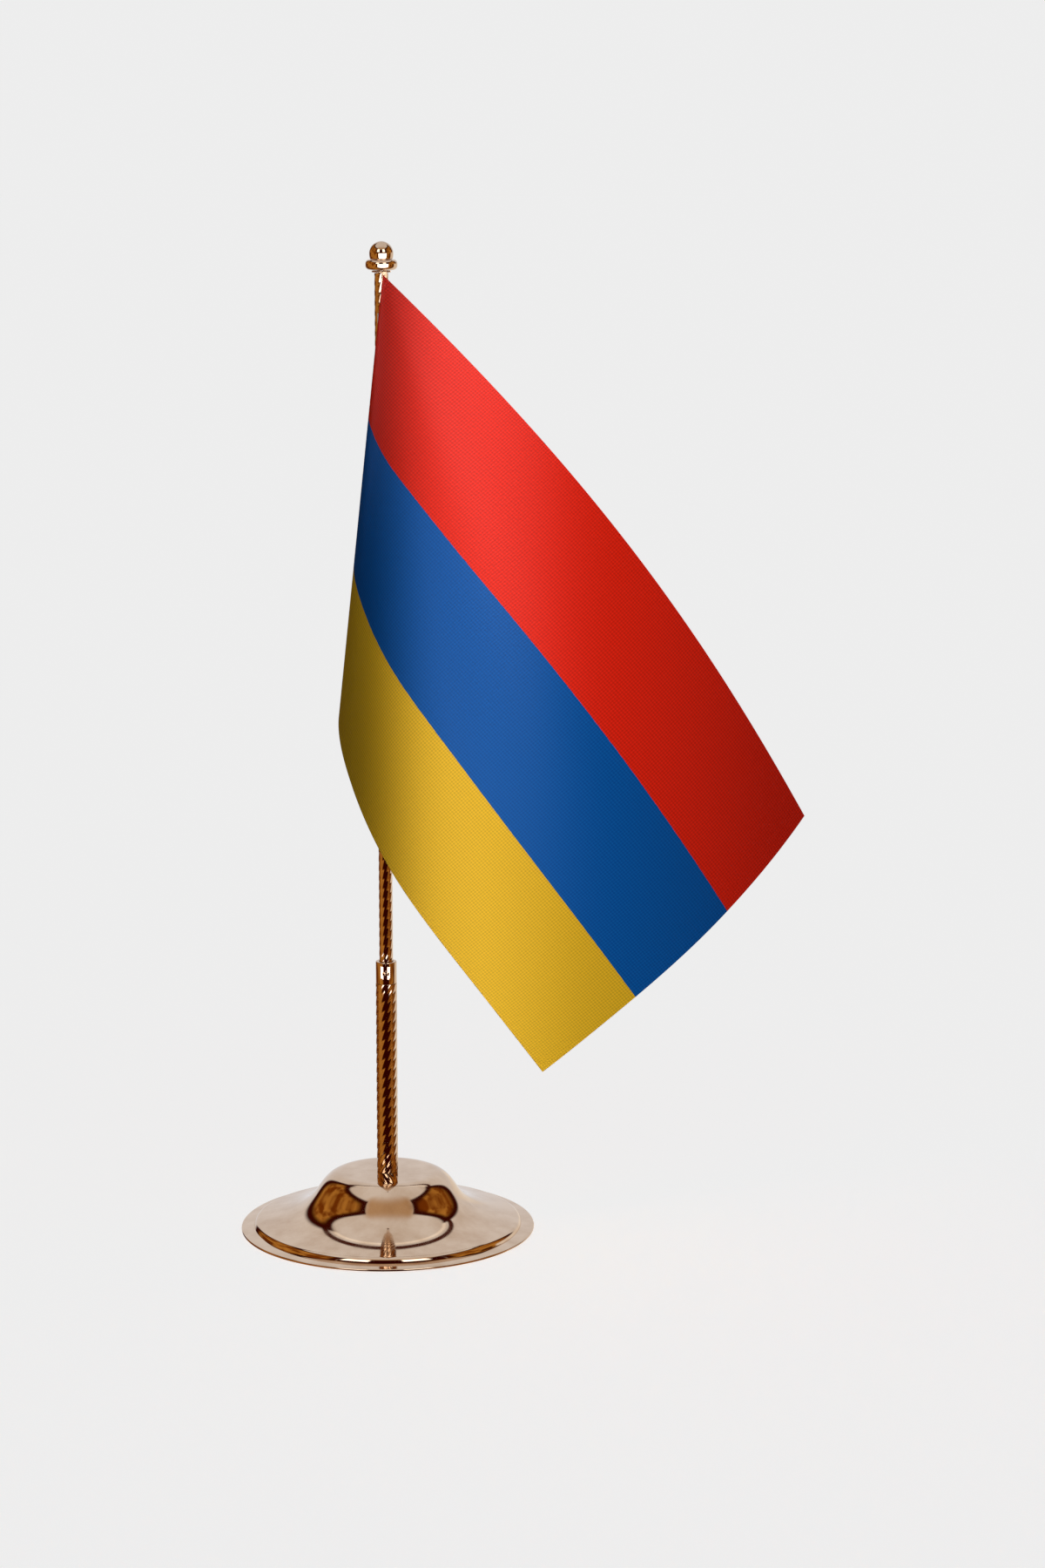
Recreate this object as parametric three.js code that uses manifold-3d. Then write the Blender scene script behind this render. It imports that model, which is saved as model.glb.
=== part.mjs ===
// Desk flag stand: a weighted spun base, a two-stage telescopic pole, a domed finial and one hanging flag.
// Millimetres, +Z up. The origin is the centre of the footprint, on the surface that the stand rests on.

import * as THREE from 'three';
import { mergeVertices } from 'three/addons/utils/BufferGeometryUtils.js';
import Module from 'manifold-3d';

const wasm = await Module();
wasm.setup();

// ---- driving dimensions ----------------------------------------------------------------------------

// clearances
const SEAT_GAP = 0.1;            // between faces that rest on each other
const FIT_GAP = 0.1;             // radial, between a plug and its bore
const RUNNING_GAP = 0.14;        // radial, between sliding or turning pieces
const CLOTH_GAP = 0.3;           // between textile pieces and their neighbours

// base
const BASE_R = 48;
const PLATEAU_H = 19.2;          // height of the flat top of the hub
const PLATEAU_R = 14.5;
const WAIST_R = 24.4;            // where the crown turns into the trumpet flank
const WAIST_H = 11.3;
const FLANK_HANDLES = { along: 0.46, rise: 1.6, out: 3.4, drop: 4.4 };   // shape of the trumpet flank
const CROWN_HANDLES = { inward: 2.5, rise: 0.4, out: 5.7 };              // shape of the crown above it
const SHELL_WALL = 0.8;
const RIM_LIFT = 0.4;            // the metal rim stays clear of the desk
const RIM_ROLL = 0.6;            // height of the rolled outer edge
const FLANGE_W = 4.2;
const FLANGE_RISE = 0.7;         // from the rolled edge to the foot of the step
const STEP_H = 1.8;              // height of the step behind the flange
const STEP_W = 1.6;
const STEP_LEAN = 0.32;
const STEP_ROUND = 0.1;
const RIM_CHAMFER = 0.4;

const FELT_T = 1.2;
const FELT_R = 41.5;
const PLATE_T = 0.8;
const PLATE_R = 41;
const ACCESS_R = 5.2;            // hole in the plate for the screw's key
const BALLAST_R = 38;

// foot screw and washers
const SCREW_R = 1.9;
const SCREW_HOLE_R = 2.3;
const HEAD_R = 3.5;
const HEAD_H = 2.4;
const HEAD_CHAMFER = 0.3;
const TIP_CHAMFER = 0.6;
const WASHER_GAP = 0.2;          // radial, round the screw's shank
const SOCKET_R = 1.9;            // across corners of the hexagonal socket, halved
const SOCKET_DEPTH = 1.4;
const WASHER_T = 0.7;
const FLAT_WASHER_R = 4.3;
const LOCK_WASHER_R = 3.5;
const LOCK_WASHER_GAP = 0.26;    // radians
const COUNTERBORE_R = 4.7;
const SCREW_REACH = 7;           // above the plateau

// lower pole stage: the upper one and its bush run inside it
const BUSH_SPACE = 0.73;         // from the upper stage's crests to the lower stage's bore
const LOWER_FLUTE_DEPTH = 0.25;
const LOWER_WALL = 0.25;         // under the flutes
const LOWER_FLUTES = 10;
const LOWER_LEAD = 32;
const LOWER_TUBE_L = 63.3;
const FOOT_PLUG_L = 9.6;
const FOOT_PLUG_TOP = 1.6;       // solid end above the thread
const THREAD_GAP = 0.1;

// split ferrule
const FERRULE_STEP = 0.05;       // the ferrule is this much smaller in radius than the crests below it
const FERRULE_H = 7.2;
const SPIGOT_L = 6;
const SPIGOT_GAP = 0.15;         // radial
const FERRULE_CHAMFER = 0.25;
const SLIT_W = 0.45;
const SLIT_FLOOR = 1.2;          // unslit height at the foot of the ferrule
const NOTCH_W = 2.1;
const NOTCH_H = 1.0;
const NOTCH_UP = 3.6;            // notch centre above the foot of the ferrule

// upper pole stage
const UPPER_CREST_R = 2.22;
const UPPER_FLUTE_DEPTH = 0.19;
const UPPER_WALL = 0.51;         // under the flutes
const UPPER_FLUTES = 8;
const UPPER_LEAD = 25;
const POLE_TOP = 311.2;          // top of the upper tube above the desk
const ENGAGED_L = 25.9;          // upper tube inside the ferrule and the lower tube

const BUSH_RUNNING_GAP = 0.06;   // radial, inside the lower tube's facets
const BUSH_FLOOR = 1.3;
const BUSH_L = 8;
const BUSH_GROOVE_UP = 3.6;      // groove's lower edge above the foot of the bush
const BUSH_GROOVE_H = 2.2;
const BUSH_GROOVE_D = 0.33;
const RING_GAP_ANGLE = 0.55;     // radians
const RING_RADIAL_GAP = 0.07;
const RING_PROUD = 0.02;         // the spring ring stands out of the bush

// finial
const STUD_R = 1.0;
const STUD_DOWN = 6.2;           // below the top of the upper tube
const STUD_UP = 6.9;
const TOP_PLUG_L = 8.2;
const TOP_PLUG_FLOOR = 1.5;
const TAB_SPACE = 1.0;           // between the upper tube and the flange
const FLANGE_R = 5.05;
const FLANGE_T = 3.3;
const FLANGE_ROUND = 1.35;
const DOME_R = 3.8;
const DOME_H = 5.5;
const DOME_SKIRT = 1.7;          // nearly straight part under the rounded top
const DOME_FOOT_R = 3.55;
const DOME_BORE_UP = 2.9;

// flag
const FLAG_FLY = 240;
const FLAG_HOIST = 120;
const FLAG_T = 0.6;
const FLAG_TRIM = 5;             // the gathered corner starts this far from the corner point
const HANG_GAP = 0.43;           // from the hoist tape's front to the cloth
const CORNER_RIGHT = 0.6;
const CORNER_DROP = 0.3;         // below the top of the upper tube
const BOW_TOP = 9.6;             // how far the sagging top edge stands out of its chord
const BOW_FLY = 6;
const BOW_FOOT = 2.4;
const FLAG_TAPER = 25;           // the gathered layers reach full thickness this far from the corner
// The cloth hangs in straight rulings from its corner. Seen from above, the rulings follow this fold:
// [right, back] per unit of drop, one entry for every ten degrees of the flat sheet, from ten degrees
// above the top edge to ten past the hoist. It turns round the soft fold at the seventh entry.
const FOLD_STEP = Math.PI / 18;
const FOLD_TENSION = 0.5;
const FOLD = [
  [1.0, 0.455],
  [0.75, 0.345],
  [0.505, 0.235],
  [0.3, 0.143],
  [0.14, 0.048],
  [0.008, -0.03],
  [-0.07, -0.062],
  [-0.105, -0.04],
  [-0.085, -0.006],
  [-0.043, 0.004],
  [0, 0],
  [0.043, -0.004],
];

const TAB_T = 0.45;
const TAB_W = 1.6;
const TAB_RIGHT = 1;             // middle of the tail, hidden behind the gathered corner
const TAB_TAIL = 6;
const TAB_R = 2.6;
const TAPE_W = 3.6;
const TAPE_T = 0.35;
const TAPE_ENDS = 12;            // bare length at the top of the hoist
const TAPE_HEM = 1;              // bare length at its foot
const LOOP_T = 0.3;
const LOOP_H = 5;
const LOOP_DROPS = { hoist_loop_upper: 48, hoist_loop_lower: 104 };   // below the corner

const FAN_ABOVE = 6;             // polar lines above the cloth's lower fly corner, and below it
const FAN_BELOW = 24;
const CLOTH_ROWS = 8;            // steps along each polar line
const SLOPE_STEP = 0.05;         // half the distance between the points that give the cloth's slope

const ROUND = 36;                // facets of a large round piece
const ROUND_FINIAL = 32;
const ROUND_SMALL = 20;

// ---- derived heights and radii --------------------------------------------------------------------

const PLATE_Z = FELT_T + SEAT_GAP;
const BALLAST_Z = PLATE_Z + PLATE_T + SEAT_GAP;
const HEAD_Z = BALLAST_Z + CLOTH_GAP;
const LOCK_WASHER_Z = HEAD_Z + HEAD_H + SEAT_GAP;
const FLAT_WASHER_Z = LOCK_WASHER_Z + WASHER_T + SEAT_GAP;
const COUNTERBORE_TOP = FLAT_WASHER_Z + WASHER_T + SEAT_GAP;
const LOWER_FOOT = PLATEAU_H + SEAT_GAP;
const LOWER_TOP = LOWER_FOOT + LOWER_TUBE_L;
const FERRULE_Z = LOWER_TOP + SEAT_GAP;
const FERRULE_TOP = FERRULE_Z + FERRULE_H;
const UPPER_FOOT = FERRULE_TOP - ENGAGED_L;
const UPPER_VALLEY_R = UPPER_CREST_R - UPPER_FLUTE_DEPTH;
const UPPER_BORE_R = UPPER_VALLEY_R - UPPER_WALL;
const LOWER_BORE_R = UPPER_CREST_R + BUSH_SPACE;
const LOWER_VALLEY_R = LOWER_BORE_R + LOWER_WALL;
const LOWER_CREST_R = LOWER_VALLEY_R + LOWER_FLUTE_DEPTH;
const FERRULE_R = LOWER_CREST_R - FERRULE_STEP;
const BUSH_Z = UPPER_FOOT - SEAT_GAP - BUSH_FLOOR;
const BUSH_R = LOWER_BORE_R * Math.cos(Math.PI / (2 * LOWER_FLUTES)) - BUSH_RUNNING_GAP;
const FLANGE_Z = POLE_TOP + TAB_SPACE;
const DOME_Z = FLANGE_Z + FLANGE_T + SEAT_GAP;
const STUD_BORE_R = STUD_R + THREAD_GAP;
const LOOP_R = UPPER_CREST_R + CLOTH_GAP;
const TAPE_BACK = LOOP_R + LOOP_T + SEAT_GAP;
const CORNER = new THREE.Vector3(
  CORNER_RIGHT,
  -(TAPE_BACK + TAPE_T + HANG_GAP + FLAG_T / 2),
  POLE_TOP - CORNER_DROP,
);

// ---- materials ---------------------------------------------------------------------------------------

const metal = (color, roughness) => new THREE.MeshStandardMaterial({ color, roughness, metalness: 1 });
const cloth = (color) => new THREE.MeshStandardMaterial({ color, roughness: 0.85, metalness: 0 });
const CHAMPAGNE = metal(0xcdb9a8, 0.08);
const STEEL = metal(0x9a9a9c, 0.35);
const BRASS = metal(0xb08d4f, 0.3);
const IRON = metal(0x4b4b4d, 0.7);
const FELT = cloth(0x1e3a2c);
const FLAG = cloth(0x16509c);
const RIBBON = cloth(0xc9a988);
const TAPE = cloth(0xe8e4da);

// ---- helpers -----------------------------------------------------------------------------------------

const flag_stand = new THREE.Group();

function add(name, geometry, material, parent = flag_stand) {
  const mesh = new THREE.Mesh(geometry, material);
  mesh.name = name;
  parent.add(mesh);
}

const vec = (x, y) => new THREE.Vector2(x, y);

// a closed outline of [radius, height] points, given anticlockwise in the half-plane right of the axis
function turned(points, facets = ROUND_SMALL) {
  const ring = points.map(([r, z]) => vec(r, z));
  ring.push(ring[0].clone());
  const lathe = new THREE.LatheGeometry(ring, facets);
  lathe.rotateX(Math.PI / 2);
  return lathe;
}

// a plain ring between two radii and two heights
function ring(innerR, outerR, low, high, facets = ROUND_SMALL) {
  return turned([[innerR, low], [outerR, low], [outerR, high], [innerR, high]], facets);
}

// a ring with a gap, lying flat
function splitRing(innerR, outerR, low, height, gap, middle) {
  const shape = new THREE.Shape();
  shape.absarc(0, 0, outerR, middle + gap / 2, middle - gap / 2 + 2 * Math.PI, false);
  shape.absarc(0, 0, innerR, middle - gap / 2 + 2 * Math.PI, middle + gap / 2, true);
  const settings = { depth: height, bevelEnabled: false, curveSegments: ROUND_SMALL };
  const solid = new THREE.ExtrudeGeometry(shape, settings);
  solid.translate(0, 0, low);
  return solid;
}

function box(low, high) {
  const size = high.clone().sub(low);
  const middle = high.clone().add(low).multiplyScalar(0.5);
  return new THREE.BoxGeometry(size.x, size.y, size.z).translate(middle.x, middle.y, middle.z);
}

function solidOf(geometry) {
  const bare = geometry.clone();
  bare.deleteAttribute('normal');
  bare.deleteAttribute('uv');
  const merged = mergeVertices(bare, 1e-4);
  return new wasm.Manifold(new wasm.Mesh({
    numProp: 3,
    vertProperties: new Float32Array(merged.attributes.position.array),
    triVerts: new Uint32Array(merged.index.array),
  }));
}

function geometryOf(solid) {
  const mesh = solid.getMesh();
  const geometry = new THREE.BufferGeometry();
  geometry.setAttribute('position', new THREE.BufferAttribute(new Float32Array(mesh.vertProperties), 3));
  geometry.setIndex(new THREE.BufferAttribute(new Uint32Array(mesh.triVerts), 1));
  geometry.computeVertexNormals();
  return geometry;
}

function cut(body, ...tools) {
  return geometryOf(tools.reduce((left, tool) => left.subtract(solidOf(tool)), solidOf(body)));
}

function join(first, second) {
  return geometryOf(solidOf(first).add(solidOf(second)));
}

// vertices and quads collected into one closed geometry
function meshOf(vertices, quads) {
  const geometry = new THREE.BufferGeometry();
  const numbers = vertices.flatMap((v) => v.toArray());
  geometry.setAttribute('position', new THREE.Float32BufferAttribute(numbers, 3));
  geometry.setIndex(quads.flatMap(([a, b, c, d]) => [a, b, c, a, c, d]));
  geometry.computeVertexNormals();
  return geometry;
}

// ---- base --------------------------------------------------------------------------------------------

// the outside of the shell from the foot of the step to the edge of the plateau
function hubOutline() {
  const flangeZ = RIM_LIFT + RIM_ROLL + FLANGE_RISE;
  const stepFoot = vec(BASE_R - FLANGE_W, flangeZ);
  const shoulder = vec(BASE_R - FLANGE_W - STEP_W, flangeZ + STEP_H);
  const waist = vec(WAIST_R, WAIST_H);
  const stepTurn = vec(stepFoot.x - STEP_LEAN, shoulder.y - STEP_ROUND);
  const plateau = vec(PLATEAU_R, PLATEAU_H);
  const rise = PLATEAU_H - WAIST_H;
  const step = new THREE.QuadraticBezierCurve(stepFoot, stepTurn, shoulder);
  const flank = new THREE.CubicBezierCurve(
    shoulder,
    vec(THREE.MathUtils.lerp(shoulder.x, waist.x, FLANK_HANDLES.along), shoulder.y + FLANK_HANDLES.rise),
    vec(waist.x + FLANK_HANDLES.out, waist.y - FLANK_HANDLES.drop),
    waist,
  );
  const crown = new THREE.CubicBezierCurve(
    waist,
    vec(waist.x - CROWN_HANDLES.inward, waist.y + CROWN_HANDLES.rise * rise),
    vec(plateau.x + CROWN_HANDLES.out, plateau.y),
    plateau,
  );
  return [...step.getPoints(3), ...flank.getPoints(7).slice(1), ...crown.getPoints(6).slice(1)];
}

// the same outline moved a distance towards the inside of the base
function inset(outline, distance) {
  return outline.map((point, i) => {
    const before = outline[Math.max(i - 1, 0)];
    const after = outline[Math.min(i + 1, outline.length - 1)];
    const along = after.clone().sub(before).normalize();
    return vec(point.x - distance * along.y, point.y + distance * along.x);
  });
}

function baseShell() {
  const outside = hubOutline();
  const inside = inset(outside, SHELL_WALL);
  const rimTop = RIM_LIFT + RIM_ROLL;
  const rimInnerR = BASE_R - SHELL_WALL - RIM_CHAMFER;
  return turned([
    [rimInnerR, RIM_LIFT],
    [BASE_R, RIM_LIFT],
    [BASE_R, rimTop],
    [BASE_R - RIM_CHAMFER, rimTop + RIM_CHAMFER],
    ...outside.map((p) => [p.x, p.y]),
    [SCREW_HOLE_R, PLATEAU_H],
    [SCREW_HOLE_R, PLATEAU_H - SHELL_WALL],
    ...inside.reverse().map((p) => [p.x, p.y]),
    [rimInnerR, rimTop + RIM_CHAMFER - SHELL_WALL],
  ], ROUND);
}

function ballast() {
  const under = inset(hubOutline(), SHELL_WALL + CLOTH_GAP).filter((p) => p.x < BALLAST_R);
  const top = under[under.length - 1].y;
  return turned([
    [COUNTERBORE_R, BALLAST_Z],
    [BALLAST_R, BALLAST_Z],
    ...under.map((p) => [p.x, p.y]),
    [SCREW_HOLE_R, top],
    [SCREW_HOLE_R, COUNTERBORE_TOP],
    [COUNTERBORE_R, COUNTERBORE_TOP],
  ], ROUND);
}

function footScrew() {
  const tip = PLATEAU_H + SCREW_REACH;
  const blank = turned([
    [0, HEAD_Z],
    [HEAD_R - HEAD_CHAMFER, HEAD_Z],
    [HEAD_R, HEAD_Z + HEAD_CHAMFER],
    [HEAD_R, HEAD_Z + HEAD_H],
    [SCREW_R, HEAD_Z + HEAD_H],
    [SCREW_R, tip - TIP_CHAMFER],
    [SCREW_R - TIP_CHAMFER, tip],
    [0, tip],
  ]);
  const socket = new THREE.CylinderGeometry(SOCKET_R, SOCKET_R, 2 * SOCKET_DEPTH, 6);
  socket.rotateX(Math.PI / 2).translate(0, 0, HEAD_Z);
  return cut(blank, socket);
}

add('felt_pad', new THREE.CylinderGeometry(FELT_R, FELT_R, FELT_T, ROUND)
  .rotateX(Math.PI / 2).translate(0, 0, FELT_T / 2), FELT);
add('base_plate', ring(ACCESS_R, PLATE_R, PLATE_Z, PLATE_Z + PLATE_T, ROUND), STEEL);
add('ballast', ballast(), IRON);
add('base_shell', baseShell(), CHAMPAGNE);
add('foot_screw', footScrew(), STEEL);
const WASHER_HOLE_R = SCREW_R + WASHER_GAP;
add('lock_washer', splitRing(
  WASHER_HOLE_R,
  LOCK_WASHER_R,
  LOCK_WASHER_Z,
  WASHER_T,
  LOCK_WASHER_GAP,
  0,
), STEEL);
add('flat_washer', ring(WASHER_HOLE_R, FLAT_WASHER_R, FLAT_WASHER_Z, FLAT_WASHER_Z + WASHER_T), STEEL);

// ---- pole --------------------------------------------------------------------------------------------

// A tube with right-handed spiral flutes outside and a plain bore. Each level turns by one vertex,
// so the flutes run along straight edges and both ends keep the same corner angles.
function flutedTube({ crestR, valleyR, boreR, flutes, lead, low, high }) {
  const corners = 2 * flutes;
  const levels = Math.round((high - low) / (lead / corners));
  const at = (radius, corner, z) => {
    const angle = (corner / corners) * 2 * Math.PI;
    return new THREE.Vector3(radius * Math.cos(angle), radius * Math.sin(angle), z);
  };
  const vertices = [];
  for (let level = 0; level <= levels; level += 1) {
    const z = THREE.MathUtils.lerp(low, high, level / levels);
    for (let c = 0; c < corners; c += 1) {
      vertices.push(at(c % 2 ? valleyR : crestR, c + level, z));
    }
  }
  const boreStart = vertices.length;
  for (const z of [low, high]) {
    for (let c = 0; c < corners; c += 1) {
      vertices.push(at(boreR, c, z));
    }
  }
  const quads = [];
  for (let c = 0; c < corners; c += 1) {
    const next = (c + 1) % corners;
    for (let level = 0; level < levels; level += 1) {
      const row = level * corners;
      quads.push([row + c, row + next, row + corners + next, row + corners + c]);
    }
    const bore = boreStart + c;
    const boreNext = boreStart + next;
    quads.push([bore, boreNext, next, c]);
    quads.push([boreNext, bore, bore + corners, boreNext + corners]);
    const topRow = levels * corners;
    const turn = levels % corners;
    const topBore = boreStart + corners + ((c + turn) % corners);
    const topBoreNext = boreStart + corners + ((next + turn) % corners);
    quads.push([topRow + c, topRow + next, topBoreNext, topBore]);
  }
  return meshOf(vertices, quads);
}

// a cylinder with a blind threaded bore, open at its foot or at its top
function threadedPlug(radius, boreR, low, high, solidEnd, opensDown) {
  if (opensDown) {
    return turned([[boreR, low], [radius, low], [radius, high], [0, high], [0, high - solidEnd],
      [boreR, high - solidEnd]]);
  }
  return turned([[0, low], [radius, low], [radius, high], [boreR, high], [boreR, low + solidEnd],
    [0, low + solidEnd]]);
}

function splitFerrule() {
  const boreR = UPPER_CREST_R + RUNNING_GAP;
  const spigotR = LOWER_BORE_R - SPIGOT_GAP;
  const body = turned([
    [boreR, FERRULE_Z - SPIGOT_L],
    [spigotR, FERRULE_Z - SPIGOT_L],
    [spigotR, FERRULE_Z],
    [FERRULE_R, FERRULE_Z],
    [FERRULE_R, FERRULE_TOP - FERRULE_CHAMFER],
    [FERRULE_R - FERRULE_CHAMFER, FERRULE_TOP],
    [boreR, FERRULE_TOP],
  ], ROUND_FINIAL);
  const front = -2 * FERRULE_R;
  const slit = box(
    new THREE.Vector3(-SLIT_W / 2, front, FERRULE_Z + SLIT_FLOOR),
    new THREE.Vector3(SLIT_W / 2, 0, FERRULE_TOP + FERRULE_H),
  );
  const notch = box(
    new THREE.Vector3(-NOTCH_W / 2, front, FERRULE_Z + NOTCH_UP - NOTCH_H / 2),
    new THREE.Vector3(NOTCH_W / 2, 0, FERRULE_Z + NOTCH_UP + NOTCH_H / 2),
  );
  return cut(body, slit, notch);
}

function stopBush() {
  const innerR = UPPER_CREST_R + FIT_GAP;
  const grooveZ = BUSH_Z + BUSH_GROOVE_UP;
  const grooveR = BUSH_R - BUSH_GROOVE_D;
  return turned([
    [0, BUSH_Z],
    [BUSH_R, BUSH_Z],
    [BUSH_R, grooveZ],
    [grooveR, grooveZ],
    [grooveR, grooveZ + BUSH_GROOVE_H],
    [BUSH_R, grooveZ + BUSH_GROOVE_H],
    [BUSH_R, BUSH_Z + BUSH_L],
    [innerR, BUSH_Z + BUSH_L],
    [innerR, BUSH_Z + BUSH_FLOOR],
    [0, BUSH_Z + BUSH_FLOOR],
  ]);
}

function frictionRing() {
  const innerR = BUSH_R - BUSH_GROOVE_D + RING_RADIAL_GAP;
  const outerR = BUSH_R + RING_PROUD;
  const low = BUSH_Z + BUSH_GROOVE_UP + SEAT_GAP;
  return splitRing(innerR, outerR, low, BUSH_GROOVE_H - 2 * SEAT_GAP, RING_GAP_ANGLE, Math.PI / 2);
}

add('foot_plug', threadedPlug(
  LOWER_BORE_R - FIT_GAP,
  SCREW_R + THREAD_GAP,
  LOWER_FOOT,
  LOWER_FOOT + FOOT_PLUG_L,
  FOOT_PLUG_TOP,
  true,
), BRASS);
add('lower_tube', flutedTube({
  crestR: LOWER_CREST_R,
  valleyR: LOWER_VALLEY_R,
  boreR: LOWER_BORE_R,
  flutes: LOWER_FLUTES,
  lead: LOWER_LEAD,
  low: LOWER_FOOT,
  high: LOWER_TOP,
}), CHAMPAGNE);
add('split_ferrule', splitFerrule(), CHAMPAGNE);

const upper_pole = new THREE.Group();
flag_stand.add(upper_pole);
add('upper_tube', flutedTube({
  crestR: UPPER_CREST_R,
  valleyR: UPPER_VALLEY_R,
  boreR: UPPER_BORE_R,
  flutes: UPPER_FLUTES,
  lead: UPPER_LEAD,
  low: UPPER_FOOT,
  high: POLE_TOP,
}), CHAMPAGNE, upper_pole);
add('stop_bush', stopBush(), BRASS, upper_pole);
add('friction_ring', frictionRing(), STEEL, upper_pole);
add('top_plug', threadedPlug(
  UPPER_BORE_R - FIT_GAP,
  STUD_BORE_R,
  POLE_TOP - TOP_PLUG_L,
  POLE_TOP - SEAT_GAP,
  TOP_PLUG_FLOOR,
  false,
), BRASS, upper_pole);

// ---- finial ------------------------------------------------------------------------------------------

// points of an arc round a centre, from one angle to another, as [radius, height]
function arc(centreR, centreZ, radiusR, radiusZ, from, to, steps) {
  return Array.from({ length: steps + 1 }, (_, i) => {
    const angle = THREE.MathUtils.lerp(from, to, i / steps);
    return [centreR + radiusR * Math.cos(angle), centreZ + radiusZ * Math.sin(angle)];
  });
}

function finialFlange() {
  const centreR = FLANGE_R - FLANGE_ROUND;
  const low = FLANGE_Z + FLANGE_ROUND;
  const high = FLANGE_Z + FLANGE_T - FLANGE_ROUND;
  return turned([
    [STUD_BORE_R, FLANGE_Z],
    ...arc(centreR, low, FLANGE_ROUND, FLANGE_ROUND, -Math.PI / 2, 0, 4),
    ...arc(centreR, high, FLANGE_ROUND, FLANGE_ROUND, 0, Math.PI / 2, 4),
    [STUD_BORE_R, FLANGE_Z + FLANGE_T],
  ], ROUND_FINIAL);
}

function finialDome() {
  const crownZ = DOME_Z + DOME_SKIRT;
  const crown = arc(0, crownZ, DOME_R, DOME_H - DOME_SKIRT, 0, Math.PI / 2, 7);
  crown[crown.length - 1][0] = 0;
  return turned([
    [STUD_BORE_R, DOME_Z],
    [DOME_FOOT_R, DOME_Z],
    ...crown,
    [0, DOME_Z + DOME_BORE_UP],
    [STUD_BORE_R, DOME_Z + DOME_BORE_UP],
  ], ROUND_FINIAL);
}

add('finial_stud', new THREE.CylinderGeometry(STUD_R, STUD_R, STUD_DOWN + STUD_UP, ROUND_SMALL)
  .rotateX(Math.PI / 2).translate(0, 0, POLE_TOP + (STUD_UP - STUD_DOWN) / 2), STEEL, upper_pole);
add('finial_flange', finialFlange(), CHAMPAGNE, upper_pole);
add('finial_dome', finialDome(), CHAMPAGNE, upper_pole);

// ---- flag --------------------------------------------------------------------------------------------

const FOLD_CURVE = new THREE.CatmullRomCurve3(
  FOLD.map(([right, back]) => new THREE.Vector3(right, back, -1)),
  false,
  'catmullrom',
  FOLD_TENSION,
);

// direction from the corner for an angle in the flat sheet: 0 along the top edge, a right angle at the hoist
function directionAt(angle) {
  const place = (angle / FOLD_STEP + 1) / (FOLD.length - 1);
  return FOLD_CURVE.getPoint(place).normalize();
}

// Place in space of a point of the flat sheet, given by its fly and hoist distances from the corner.
// The top and fly edges bow most at mid length, the foot a third of the way along: both bows peak at 1.
const midBow = (share) => 4 * share * (1 - share);
const thirdBow = (share) => 27 / 4 * share * (1 - share) ** 2;

function clothPoint(fly, hoist) {
  const a = fly / FLAG_FLY;
  const b = hoist / FLAG_HOIST;
  const u = fly + BOW_FLY * midBow(b) * a;
  const v = hoist - BOW_TOP * midBow(a) * (1 - b) + BOW_FOOT * thirdBow(a) * b;
  return directionAt(Math.atan2(v, u)).multiplyScalar(Math.hypot(u, v)).add(CORNER);
}

// the sheet in polar lines from the corner, so the straight rulings need few steps
function polarPoint(angle, share) {
  const edge = Math.min(FLAG_FLY / Math.cos(angle), FLAG_HOIST / Math.sin(angle));
  const distance = THREE.MathUtils.lerp(FLAG_TRIM, edge, share);
  return [distance * Math.cos(angle), distance * Math.sin(angle)];
}

function clothNormal(fly, hoist) {
  const alongFly = clothPoint(fly + SLOPE_STEP, hoist).sub(clothPoint(fly - SLOPE_STEP, hoist));
  const alongHoist = clothPoint(fly, hoist + SLOPE_STEP).sub(clothPoint(fly, hoist - SLOPE_STEP));
  return alongFly.cross(alongHoist).normalize();
}

// angles of the polar lines: even steps, with one line exactly through the lower fly corner
function clothAngles() {
  const corner = Math.atan2(FLAG_HOIST, FLAG_FLY);
  const even = (from, to, count) => Array.from(
    { length: count },
    (_, i) => THREE.MathUtils.lerp(from, to, (i + 1) / count),
  );
  return [0, ...even(0, corner, FAN_ABOVE), ...even(corner, Math.PI / 2, FAN_BELOW)];
}

function flagCloth() {
  const angles = clothAngles();
  const vertices = [];
  for (const side of [1, -1]) {
    for (const angle of angles) {
      for (let k = 0; k <= CLOTH_ROWS; k += 1) {
        const [fly, hoist] = polarPoint(angle, k / CLOTH_ROWS);
        const offset = side * FLAG_T / 2 * Math.min(1, Math.hypot(fly, hoist) / FLAG_TAPER);
        vertices.push(clothPoint(fly, hoist).addScaledVector(clothNormal(fly, hoist), offset));
      }
    }
  }
  const stride = CLOTH_ROWS + 1;
  const sheet = angles.length * stride;
  const quads = [];
  for (let i = 0; i < angles.length - 1; i += 1) {
    for (let k = 0; k < CLOTH_ROWS; k += 1) {
      const p = i * stride + k;
      quads.push([p, p + 1, p + 1 + stride, p + stride]);
      quads.push([sheet + p + stride, sheet + p + 1 + stride, sheet + p + 1, sheet + p]);
    }
    const inner = i * stride;
    const outer = inner + CLOTH_ROWS;
    quads.push([inner + stride, inner + stride + sheet, inner + sheet, inner]);
    quads.push([outer, outer + sheet, outer + stride + sheet, outer + stride]);
  }
  const last = (angles.length - 1) * stride;
  for (let k = 0; k < CLOTH_ROWS; k += 1) {
    quads.push([k, k + sheet, k + 1 + sheet, k + 1]);
    quads.push([last + k + 1, last + k + 1 + sheet, last + k + sheet, last + k]);
  }
  return meshOf(vertices, quads);
}

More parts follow.
